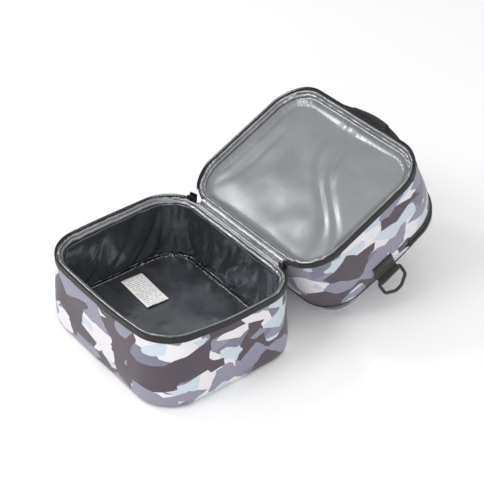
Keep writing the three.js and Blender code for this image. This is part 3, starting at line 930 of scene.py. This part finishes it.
def fit_lid(points):
    """Moves a flat sheet drawn on the plain outline so that it follows the lid's soft shape."""
    points = np.array(points, float)
    s = outline_distance(points[:, :2])
    out, _ = lid_shift(s, 8.0)
    level = np.clip(np.maximum(np.abs(points[:, 0]) / (WIDTH / 2), np.abs(points[:, 1]) / (LENGTH / 2)), 0, 1)
    points[:, :2] += anchors(s)[1] * (out * level ** 4)[:, None]
    return points


def build_lid_panel():
    """Silver panel that closes the lid's inner side, loose enough to fold."""
    points, faces, uvs, edge = rounded_sheet(LINING_IN + 0.4, 56, panel_height)
    made = make_object("lid_panel", swing_open(fit_lid(points)), faces, uvs)
    behind = np.array(LID_TO_BAG.to_3x3() @ Vector((0, 0, 1)))
    slacken(made, edge, 0.006, 18, 0.6, 4.0, np.tile(behind, (len(points), 1)))
    add_modifier(made, "SMOOTH", factor=0.5, iterations=2)
    add_modifier(made, "SOLIDIFY", thickness=0.6 * MM, offset=0)
    dress(made, "lid", LINING_LIGHT, "divider_panel")


def build_lid_core():
    """Foam and inner linings of the upper compartment."""
    foam = straight((FOAM_OUT, 5), (FOAM_OUT, TOP_RIM - 1), 16)
    foam += straight((FOAM_IN, TOP_RIM - 1), (FOAM_IN, 5), 16)
    made = body_loft("lid_foam_wall", lid_shift, foam, spacing=5, round_v=True, opened=True)
    dress(made, "lid", FOAM_LOOK, "lid_foam")
    plate = [(CORNER - 4, 13), (LINING_OUT + 1, 13), (LINING_OUT + 1, 16), (CORNER - 4, 16)]
    made = body_loft("divider_foam_sheet", lid_shift, plate, spacing=5, opened=True)
    dress(made, "lid", FOAM_LOOK, "divider_foam")
    wall = straight((LINING_OUT, 24), (LINING_OUT, 80), 16)
    cup = [(CORNER - 4, 17), (LINING_OUT + 2, 17), (LINING_OUT, 20)] + wall
    back = [(inset + 0.8, max(z, 17.8)) for inset, z in reversed(cup)]
    made = body_loft("upper_lining_cup", lid_shift, cup + back, spacing=4, opened=True)
    dress(made, "lid", LINING_SHADED, "upper_liner")


def top_zip_span():
    """Where the top zip starts and stops round the outline."""
    start = WALL_LEFT - TOP_ZIP_END
    return start, PERIMETER - start


def build_top_zip():
    """Both halves of the top zip: the lid's below the opening, the flap's above it."""
    span = top_zip_span()
    teeth_span = (span[0] + 1, span[1] - 1)
    lower = [(-0.2, TOP_RIM - 4), (-1.0, TOP_RIM - 4), (-1.0, TOP_RIM + 0.4), (-0.2, TOP_RIM + 0.5),
             (0.8, TOP_RIM - 0.5)]
    upper = [(-0.2, PIPING_Z - 0.3), (-1.0, PIPING_Z - 0.3), (-1.0, FLAP_START - 0.4),
             (-0.2, FLAP_START - 0.5), (0.8, FLAP_START + 0.5)]
    halves = (("lower", "lid", "top", lower, TOP_RIM + 0.2, 1.9),
              ("upper", "top_flap", "flap", upper, FLAP_START - 0.2, -1.9))
    for label, body, node, profile, level, tall in halves:
        made = body_loft(f"top_zip_tape_{label}", lid_shift, profile, span=span, round_v=True, opened=True)
        dress(made, body, TAPE, f"{node}_zip_tape")
        made = build_teeth(f"top_zip_coil_{label}", lid_shift, teeth_span, level, tall, True)
        dress(made, body, COIL, f"{node}_zip_teeth")


def build_piping():
    """Corded edge between the side walls and the outer face."""
    section = arc_profile((-0.5, PIPING_Z + 0.8), 0.75, 0, 315, 7)
    beside = WALL_LEFT - FOLD_X - 0.5
    made = piping_piece("face_piping_cord", section, -beside, beside)
    dress(made, "lid", TAPE, "face_piping")
    made = piping_piece("flap_piping_cord", section, beside + 1, PERIMETER - beside - 1)
    dress(made, "top_flap", TAPE, "flap_piping")


def piping_piece(name, section, start, stop):
    return body_loft(name, lid_shift, section, span=(start, stop), round_v=True, opened=True)


# ================= fabric hinge =================
def hinge_sheet(name, profile, thickness, seed, ruffle):
    """A strip along the hinge through (x, z) profile points, with fine gathers."""
    along = np.linspace(-HINGE_HALF, HINGE_HALF, 120)
    rows = []
    for number, (x, z) in enumerate(profile):
        middle = math.sin(math.pi * number / (len(profile) - 1))
        gather = [ruffle * middle * noise.noise(Vector((x * 0.25, y / 6, seed))) for y in along]
        rows.append(np.column_stack([np.full(len(along), x), along, z + np.array(gather)]))
    made = loft(name, rows, along, path_lengths(profile), round_u=False, ends=False)
    add_modifier(made, "SOLIDIFY", thickness=thickness * MM, offset=0)
    return made


def lid_wall(inset, z):
    """A point on the open lid's hinge wall, as (x, z) in the bag's frame."""
    place = LID_TO_BAG @ Vector((WIDTH / 2 - inset, 0, z))
    return place.x, place.z


def build_hinge():
    """Black tape outside and a film gusset inside, both crossing from the tub to the lid."""
    wall, edge = WIDTH / 2, TUB_TOP
    start, end = (wall + 1.5, 0, edge), (lid_wall(-1.5, 0)[0], 0, lid_wall(-1.5, 0)[1])
    tape = [(wall + 1.4, edge - 7), (wall + 1.4, edge - 4.5), (wall + 2.0, edge - 3.0),
            (HINGE.x - 0.8, edge - 3.6), (HINGE.x + 1.6, edge - 3.6), (HINGE.x + 4.0, edge - 2.8),
            lid_wall(-1.7, 3.5), lid_wall(-1.4, 5), lid_wall(-1.4, 7)]
    made = hinge_sheet("hinge_tape", tape, 0.9, 61, 0.4)
    dress(made, "tub", TAPE, "base_hinge_strip", "lid_hinge_strip", blend=("lid", start, end))
    gusset = [(wall - 3.0, edge - 1.6), (wall - 1.4, edge + 0.9), (wall + 0.8, edge + 1.5),
              (wall + 2.6, edge + 0.7), (HINGE.x - 0.6, edge - 1.0), (HINGE.x + 0.2, edge - 2.0),
              (HINGE.x + 1.2, edge - 0.8), (HINGE.x + 2.6, edge + 1.4), lid_wall(0.4, -0.8),
              lid_wall(1.8, 0.2), lid_wall(3.2, 2.2)]
    made = hinge_sheet("hinge_gusset", gusset, 0.5, 63, 0.9)
    add_modifier(made, "SUBSURF", levels=1, render_levels=1)
    dress(made, "tub", FOIL, blend=("lid", start, end))


# ================= webbing, rings and sliders =================
def sweep(name, path, section, closed, normal):
    """Draws a section, as (across, up) pairs, along a path on the lid; up stays near the given normal."""
    path = np.asarray(path, float)
    count = len(path)
    normal = np.asarray(normal, float)
    rows = []
    for k in range(count):
        ahead = path[(k + 1) % count] if closed or k < count - 1 else path[k]
        behind = path[k - 1] if closed or k > 0 else path[k]
        tangent = (ahead - behind) / np.linalg.norm(ahead - behind)
        across = np.cross(normal, tangent)
        across /= np.linalg.norm(across)
        up = np.cross(tangent, across)
        rows.append(swing_open([path[k] + across * a + up * b for a, b in section]))
    around = path_lengths(section + section[:1])
    steps = path_lengths([*path, path[0]])
    return loft(name, rows, around, steps, round_v=closed, plain_ends=True)


def strap_section(width, thick):
    """A flat woven strap with soft edges."""
    w, h = width / 2, thick / 2
    under = [(-w, -h * 0.4), (-w + h, -h), (0, -h), (w - h, -h), (w, -h * 0.4)]
    return under + [(across, -up) for across, up in reversed(under)]


def rounded_bar(half, flat, thick, low):
    """An eight-sided section, flat over and under, with cut corners."""
    under = [(-half, -low), (-flat, -thick), (flat, -thick), (half, -low)]
    return under + [(across, -up) for across, up in reversed(under)]


def stitch(a, b, side, rise):
    """The eight points of one raised stitch from a to b."""
    third = (b - a) * 0.25
    near = [a - side, a + side, a + third + side * 0.8 + rise, a + third - side * 0.8 + rise]
    return near + [b - third - side * 0.8 + rise, b - third + side * 0.8 + rise, b + side, b - side]


STITCH_FACES = [(0, 1, 2, 3), (3, 2, 5, 4), (4, 5, 6, 7), (0, 3, 4, 7), (1, 6, 5, 2), (0, 7, 6, 1)]


def box_stitch(name, corners, normal):
    """Thread sewn round a square of the lid and along its diagonals, as small raised stitches."""
    normal = Vector(normal)
    routes = [(corners[k], corners[(k + 1) % 4]) for k in range(4)]
    routes += [(corners[0], corners[2]), (corners[1], corners[3])]
    points, faces = [], []
    for start, end in routes:
        start, end = Vector(start), Vector(end)
        run = end - start
        side = normal.cross(run).normalized() * 0.28
        count = max(2, round(run.length / 2.6))
        for k in range(count):
            base = len(points)
            a = start + run * ((k + 0.15) / count)
            b = start + run * ((k + 0.85) / count)
            points += stitch(a, b, side, normal * 0.35)
            faces += [tuple(base + corner for corner in face) for face in STITCH_FACES]
    made = make_object(name, swing_open([tuple(p) for p in points]), faces)
    dress(made, "lid", TAPE)


def far_wall(y, z, proud):
    """A point on the wall opposite the hinge, proud of the fabric, through the lid's soft shape."""
    s = WALL_LEFT + CORE_X + QUARTER + (CORE_Y - y)
    return body_rows(lid_shift, np.array([s]), [(-proud, z)])[0][0]


def build_handle():
    """Two sewn ends and a loop that stands a little off the wall."""
    rise = 11.0
    path = []
    for k in range(49):
        y = HANDLE_HALF * (1 - 2 * k / 48)
        away = 2.2 + rise * (1 - (y / HANDLE_HALF) ** 2) ** 0.75
        lean = 3.0 * (1 - (y / HANDLE_HALF) ** 2) - 3.5 * math.sin(math.pi * y / HANDLE_HALF)
        base = far_wall(y, HANDLE_LEVEL, 0)
        path.append((base[0] - away, base[1], HANDLE_LEVEL - lean))
    for side, label, half_path in ((1, "left", path[:25]), (-1, "right", path[:23:-1])):
        made = sweep(f"handle_strap_{label}", half_path, strap_section(HANDLE_WIDTH, 1.9), False, (1, 0, 0))
        held, free = far_wall(side * (HANDLE_HALF - 2), HANDLE_LEVEL, 5), far_wall(side * 36, HANDLE_LEVEL, 5)
        start, end = swing_open([held])[0], swing_open([(held[0], free[1], held[2])])[0]
        nodes = ("handle_loop",) if label == "left" else ()
        dress(made, "lid", STRAP, *nodes, blend=("handle", start, end))
    middle = path[12:37]
    half = HANDLE_WIDTH / 2 + 1.2
    sleeve = rounded_bar(half, half - 1.6, 2.1, 0.8)
    made = sweep("handle_sleeve", middle, sleeve, False, (1, 0, 0))
    add_modifier(made, "BEVEL", width=0.5 * MM, segments=2)
    dress(made, "handle", STRAP, "handle_grip")
    for side, label in ((1, "left"), (-1, "right")):
        ends = [tuple(far_wall(side * (HANDLE_HALF - 1 + k * 2), HANDLE_LEVEL, 1.5)) for k in range(12)]
        made = sweep(f"handle_patch_{label}", ends, strap_section(HANDLE_WIDTH, 1.9), False, (1, 0, 0))
        dress(made, "lid", STRAP, f"handle_end_{label}")
        near, far = side * (HANDLE_HALF + 2), side * (HANDLE_HALF + 18)
        low, high = HANDLE_LEVEL - 9, HANDLE_LEVEL + 9
        square = [far_wall(y, z, 2.5) for y, z in ((near, low), (far, low), (far, high), (near, high))]
        box_stitch(f"handle_stitch_{label}", square, (-1, 0, 0))


def ring_frame(label):
    """One ring's pivot in the closed lid, and the side of the bag that it hangs on, as 1 or -1."""
    joint = JOINTS[f"ring_{label}_swing"]
    pivot = LID_TO_BAG.inverted() @ (Vector(joint["pos_m"]) / MM)
    return pivot, 1 if label == "left" else -1


def rounded_path(corners, radius, steps):
    """A closed path through corners, each rounded by a curve."""
    path = []
    for k, corner in enumerate(corners):
        corner = Vector(corner)
        before = Vector(corners[k - 1]) - corner
        after = Vector(corners[(k + 1) % len(corners)]) - corner
        cut = min(radius, before.length * 0.45, after.length * 0.45)
        start = corner + before.normalized() * cut
        end = corner + after.normalized() * cut
        for step in range(steps + 1):
            f = step / steps
            path.append((1 - f) ** 2 * start + 2 * f * (1 - f) * corner + f ** 2 * end)
    return [tuple(p) for p in path]


def build_ring(label):
    """A six-sided moulded ring."""
    pivot, side = ring_frame(label)
    tilt = math.radians(22)
    half, reach = RING_WEB / 2 + 2.4, 23.2
    shoulder, tip = reach * 0.66, half * 0.27
    drawn = [(-half, 0), (half, 0), (half, shoulder), (tip, reach), (-tip, reach), (-half, shoulder)]
    corners = []
    for x, up in drawn:
        corners.append((pivot.x + x, pivot.y + side * up * math.sin(tilt), pivot.z + up * math.cos(tilt)))
    normal = (0, side * math.cos(tilt), -math.sin(tilt))
    section = rounded_bar(1.9, 1.1, 1.7, 0.9)
    made = sweep(f"ring_{label}", rounded_path(corners, 3.4, 5), section, True, normal)
    add_modifier(made, "BEVEL", width=0.3 * MM, segments=2)
    dress(made, f"ring_{label}", RING_PLASTIC, f"hex_ring_{label}")


def build_ring_tab(label):
    """The folded webbing tab that holds a ring, sewn to the end wall."""
    pivot, side = ring_frame(label)
    wall_y = side * LENGTH / 2
    loop = 3.3
    reach_out = abs(pivot.y - wall_y)
    route = [(0.9 + 0.35 * math.sin(k), pivot.z - 24 + k * 3.4) for k in range(7)]
    for k in range(13):
        angle = math.radians(200 - k * 24)
        route.append((reach_out + loop * math.cos(angle), pivot.z + loop * math.sin(angle)))
    route += [(2.9 + 0.2 * math.sin(k * 1.7), pivot.z - 3.6 - k * 3.4) for k in range(7)]
    path = [(pivot.x, wall_y + side * out, z) for out, z in route]
    section = [(b, a) for a, b in strap_section(RING_WEB, 1.6)]
    made = sweep(f"ring_webbing_{label}", path, section, False, (1, 0, 0))
    dress(made, "lid", STRAP, f"ring_tab_{label}")
    square = []
    for x, z in ((-12, 9), (12, 9), (12, 22), (-12, 22)):
        square.append((pivot.x + x, wall_y + side * 3.85, pivot.z - z))
    box_stitch(f"ring_stitch_{label}", square, (0, side, 0))


def plate(work, outline, low, high, place):
    """Adds a flat plate with the given outline between two depths."""
    verts = [work.verts.new(place @ Vector((x, depth, z)) * MM) for depth in (low, high) for x, z in outline]
    size = len(outline)
    work.faces.new(verts[:size][::-1])
    work.faces.new(verts[size:])
    for k in range(size):
        work.faces.new((verts[k], verts[(k + 1) % size], verts[size + (k + 1) % size], verts[size + k]))


def build_slider(label):
    """A zip slider of two shaped plates, a bridge and a slotted pull; x runs along the zip, y outward."""
    joint = JOINTS[f"pull_{label}_swing"]
    outward = Vector(joint["axis"]).normalized() * (-1 if label == "right" else 1)
    down = Vector((0, 0, -1)) if label != "top" else LID_TO_BAG.to_3x3() @ Vector((0, 0, 1))
    along = outward.cross(down)
    turn = Matrix((along, outward, -down)).transposed().to_4x4()
    standoff = 4.75
    place = Matrix.Translation(Vector(joint["pos_m"]) / MM - outward * standoff) @ turn
    wide, narrow = (4.6, 3.3) if label != "top" else (2.3, 1.8)
    lower = [(-5.4, -narrow), (-1.5, -wide), (3.5, -wide), (5.4, -wide * 0.55)]
    shape = lower + [(x, -z) for x, z in reversed(lower)]
    work = bmesh.new()
    plate(work, shape, 2.2, 3.5, place)
    plate(work, [(x, z * 0.7) for x, z in shape], -3.0, -1.6, place)
    plate(work, [(0, -0.5), (4, -0.4), (4, 0.4), (0, 0.5)], -1.7, 2.3, place)
    arch = [(3.4, 6.6), (2.6, 7.2), (-2.6, 7.2), (-3.4, 6.6), (-3.4, 3.4), (-2.2, 3.4), (-2.2, 6.2),
            (2.2, 6.2), (2.2, 3.4), (3.4, 3.4)]
    verts = [work.verts.new(place @ Vector((x, y, z)) * MM) for z in (-1.0, 1.0) for x, y in arch]
    work.faces.new(verts[:10])
    work.faces.new(verts[10:][::-1])
    for k in range(10):
        work.faces.new((verts[k], verts[10 + k], verts[10 + (k + 1) % 10], verts[(k + 1) % 10]))
    finish_bmesh(work, f"slider_body_{label}", 0.3, f"slider_{label}", f"{label}_slider")
    pull = bmesh.new()
    outside = [(-2.6, 1.6), (-1.6, 2.8), (1.6, 2.8), (2.6, 1.6), (2.2, -3.5), (1.7, -7), (2.5, -12),
               (2.7, -21.5), (1.6, -23.6), (-1.6, -23.6), (-2.7, -21.5), (-2.5, -12), (-1.7, -7),
               (-2.2, -3.5)]
    plate_with_slot(pull, outside, 4.15, 5.35, place)
    finish_bmesh(pull, f"slider_tongue_{label}", 0.25, f"pull_{label}", f"{label}_pull")


def plate_with_slot(work, outline, low, high, place):
    """A tongue drawn as a rim of its outline round a long slot, with a closed waist."""
    inner = [(x * 0.42, z * 0.9 - 0.9 if z < -8 else z) for x, z in outline]
    size = len(outline)
    grid = {}
    for layer_number, depth in enumerate((low, high)):
        for kind, points in enumerate((outline, inner)):
            for k, (x, z) in enumerate(points):
                grid[layer_number, kind, k] = work.verts.new(place @ Vector((x, depth, z)) * MM)
    for k in range(size):
        right = (k + 1) % size
        work.faces.new([grid[1, 0, k], grid[1, 0, right], grid[1, 1, right], grid[1, 1, k]])
        work.faces.new([grid[0, 0, right], grid[0, 0, k], grid[0, 1, k], grid[0, 1, right]])
        work.faces.new([grid[0, 0, k], grid[0, 0, right], grid[1, 0, right], grid[1, 0, k]])
        work.faces.new([grid[1, 1, k], grid[1, 1, right], grid[0, 1, right], grid[0, 1, k]])


def finish_bmesh(work, name, bevel, body, *replaced):
    bmesh.ops.recalc_face_normals(work, faces=work.faces)
    mesh = bpy.data.meshes.new(name)
    work.to_mesh(mesh)
    work.free()
    made = new_object(name, mesh)
    add_modifier(made, "BEVEL", width=bevel * MM, segments=2, limit_method="ANGLE")
    dress(made, body, BLACK_METAL, *replaced)


# ================= outer face padding =================
def face_slab(name, low, high, under, thick):
    """A slab that follows the outer face, a given depth under it, from one x to another."""
    columns, rows = 25, 41
    points = []
    for depth in (under, under + thick):
        for j in range(rows):
            for i in range(columns):
                x = low + (high - low) * i / (columns - 1)
                reach = LENGTH / 2 - 6 - corner_drop(x)
                y = reach * (2 * j / (rows - 1) - 1)
                points.append((x, y, crown(x, y) - depth))
    layer = columns * rows
    faces = grid_faces(columns, rows)
    faces += [tuple(k + layer for k in reversed(quad)) for quad in faces]
    border = grid_border(columns, rows)
    faces += [(a, a + layer, b + layer, b) for a, b in zip(border, border[1:] + border[:1])]
    return make_object(name, swing_open(points), faces)


def build_face_core():
    """Padding and lining behind the outer face, in the lid's share and the flap's."""
    shares = (("lid", FOLD_X + 0.6, 94.0, "face"), ("top_flap", -94.0, FOLD_X - 0.6, "flap"))
    for body, low, high, node in shares:
        made = face_slab(f"{body}_face_padding", low, high, FABRIC + 0.5, 3.6)
        dress(made, body, FOAM_LOOK, f"{node}_foam")
        made = face_slab(f"{body}_face_lining", low, high, FABRIC + 4.7, 0.8)
        dress(made, body, LINING_SHADED, f"{node}_liner")


def corner_drop(x):
    """How far the plan outline is drawn in along Y at a given x, from the rounded corners."""
    over = max(0.0, abs(x) - CORE_X + 4)
    return CORNER - math.sqrt(max(0.0, CORNER ** 2 - over ** 2))


# ================= stage, camera and light =================
def build_stage():
    """A pale floor, a little below the bag."""
    mesh = bpy.data.meshes.new("floor")
    half = 6.0
    corners = [(-half, -half, 0), (half, -half, 0), (half, half, 0), (-half, half, 0)]
    mesh.from_pydata(corners, [], [(0, 1, 2, 3)])
    floor = new_object("floor", mesh)
    floor.location.z = -0.0006
    material, tree, principled = shader("pale_floor")
    feed(tree, principled, Base_Color=(0.93, 0.93, 0.93, 1), Roughness=0.9)
    mesh.materials.append(material)


def area_light(name, place, target, size, power):
    data = bpy.data.lights.new(name, "AREA")
    data.shape = "DISK"
    data.size = size
    data.energy = power
    lamp = new_object(name, data)
    lamp.location = place
    lamp.rotation_euler = (Vector(target) - Vector(place)).to_track_quat("-Z", "Y").to_euler()


def build_light():
    """Three lamps, and a studio sky uneven enough for the film to have something to reflect."""
    world = bpy.data.worlds.new("studio")
    world.use_nodes = True
    tree = world.node_tree
    parts = add(tree, "ShaderNodeSeparateXYZ", {0: add(tree, "ShaderNodeTexCoord").outputs["Generated"]})
    height = maths(tree, "MAXIMUM", parts.outputs[2], 0.0)
    cards = times(tree, cloud(tree, add(tree, "ShaderNodeTexCoord").outputs["Generated"], 2.6, 0.0), 1.3)
    overhead = plus(tree, times(tree, height, 0.95), 0.42)
    level = times(tree, overhead, plus(tree, cards, 0.35))
    feed(tree, tree.nodes["Background"], Color=(1, 1, 1, 1), Strength=times(tree, level, 0.78))
    bpy.context.scene.world = world
    middle = (0.10, 0.0, 0.05)
    area_light("key", (-1.1, 0.25, 1.5), middle, 0.8, 10)
    area_light("fill", (-0.9, -1.6, 0.9), middle, 1.4, 9)
    area_light("kicker", (-0.50, 1.2, 1.4), middle, 0.3, 6)
    bpy.context.scene.view_settings.view_transform = "Standard"


def build_camera():
    """The camera that was fitted to the picture's outline."""
    azimuth, elevation = math.radians(-38.3), math.radians(36.8)
    distance = 1.786
    target = Vector((0.1334, 0.0339, 0.0436))
    level = math.cos(elevation)
    back = Vector((math.sin(azimuth) * level, -math.cos(azimuth) * level, math.sin(elevation)))
    data = bpy.data.cameras.new("camera")
    data.lens = 109
    data.sensor_width = 36
    camera = new_object("camera", data)
    camera.location = target + back * distance
    camera.rotation_euler = (-back).to_track_quat("-Z", "Y").to_euler()
    bpy.context.scene.camera = camera


build_tub_fabric()
build_tub_core()
build_tub_lining()
build_tub_floor()
build_floor_welt()
build_label()
build_rim("tub", "base", tub_shift, TUB_TOP, 1, 31)
build_lid_fabric()
build_rim("lid", "lid", lid_shift, 0.0, -1, 41)
build_lid_panel()
build_lid_core()
build_top_zip()
build_piping()
build_face_core()
build_hinge()
build_handle()
for side_label in ("left", "right"):
    build_ring(side_label)
    build_ring_tab(side_label)
for zip_label in ("left", "right", "top"):
    build_slider(zip_label)
build_stage()
build_light()
build_camera()
